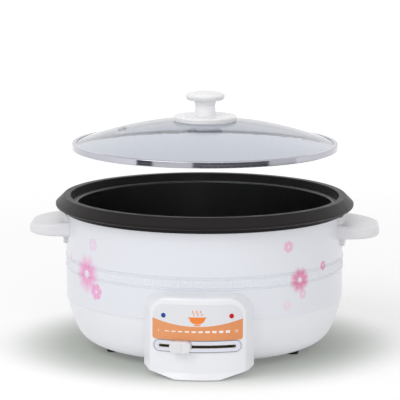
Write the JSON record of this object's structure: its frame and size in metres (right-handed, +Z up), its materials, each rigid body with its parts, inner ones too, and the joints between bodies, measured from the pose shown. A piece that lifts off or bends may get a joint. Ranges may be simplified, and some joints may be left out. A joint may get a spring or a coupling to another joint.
{
  "type": "electric hot pot with lid",
  "caption": "Round white electric hot pot with a lift-off glass lid, a lift-out dark pot, two side handles and a front control housing with a sliding lever.",
  "frame": {"origin": "on the floor under the axis of the round pot", "axes": "+Z up along the pot's axis, -Y towards the control housing, +X to the right seen from the front"},
  "size_m": [0.3894, 0.3619, 0.2867],
  "materials": {
    "shell_white": "smooth gloss white",
    "handle_white": "smooth gloss white",
    "rim_black": "satin black, heat proof",
    "pot_nonstick": "dark non-stick coating on aluminium",
    "pan_steel": "galvanised sheet",
    "rubber_foot": "matte black",
    "steel": "zinc plated",
    "heater_alloy": "as cast",
    "element_sheath": "heat tinted",
    "thermostat_case": "matte",
    "fuse_sleeve": "woven glass sleeve",
    "porcelain": "glazed",
    "wire_sleeve": "silicone insulation",
    "inlet_black": "moulded",
    "pin_brass": "plated",
    "faceplate_print": "printed panel, pale grey over an orange band",
    "bezel_silver": "silvery white",
    "lens_blue": "clear tinted",
    "lens_red": "clear tinted",
    "neon_glass": "clear",
    "lid_glass": "clear tempered",
    "lid_steel": "polished"
  },
  "bodies": {
    "base": {"body_shell": "shell_white", "base_shell": "shell_white", "rim_ring": "rim_black", "base_pan": "pan_steel", "foot_front_right": "rubber_foot", "foot_back_right": "rubber_foot", "foot_back_left": "rubber_foot", "foot_front_left": "rubber_foot", "foot_screws": "steel", "heater_plate": "heater_alloy", "heater_element": "element_sheath", "heat_reflector": "pan_steel", "reflector_posts": "steel", "plate_spacers": "steel", "thermostat": "thermostat_case", "thermostat_bracket": "pan_steel", "thermal_fuse": "fuse_sleeve", "fuse_clip": "pan_steel", "terminal_block": "porcelain", "internal_wires": "wire_sleeve", "inlet_socket": "inlet_black", "inlet_pins": "pin_brass", "control_housing": "shell_white", "housing_base": "shell_white", "housing_screws": "steel", "control_faceplate": "faceplate_print", "slot_bezel": "bezel_silver", "slot_rails": "steel", "lamp_lens_blue": "lens_blue", "lamp_lens_red": "lens_red", "neon_lamps": "neon_glass", "handle_left": "handle_white", "handle_right": "handle_white", "handle_screws": "steel"},
    "control_lever": {"lever_arm": "steel", "slider_knob": "handle_white", "thermostat_spindle": "steel"},
    "inner_pot": {"inner_pot": "pot_nonstick"},
    "lid": {"lid_glass": "lid_glass", "lid_rim": "lid_steel", "vent_eyelet": "steel", "knob_collar": "handle_white", "knob_grip": "handle_white", "knob_washer": "rubber_foot", "knob_screw": "steel"}
  },
  "joints": [
    {"name": "lid_lift", "type": "slide", "parent": "inner_pot", "child": "lid", "axis": [0, 0, 1], "range_m": [-0.0592, 0.08]},
    {"name": "pot_lift", "type": "slide", "parent": "base", "child": "inner_pot", "axis": [0, 0, 1], "range_m": [0, 0.13]},
    {"name": "lever_swing", "type": "hinge", "parent": "base", "child": "control_lever", "pos_m": [0, -0.078, 0.037], "axis": [0, 0, 1], "range_deg": [-10.5, 28.5]}
  ]
}
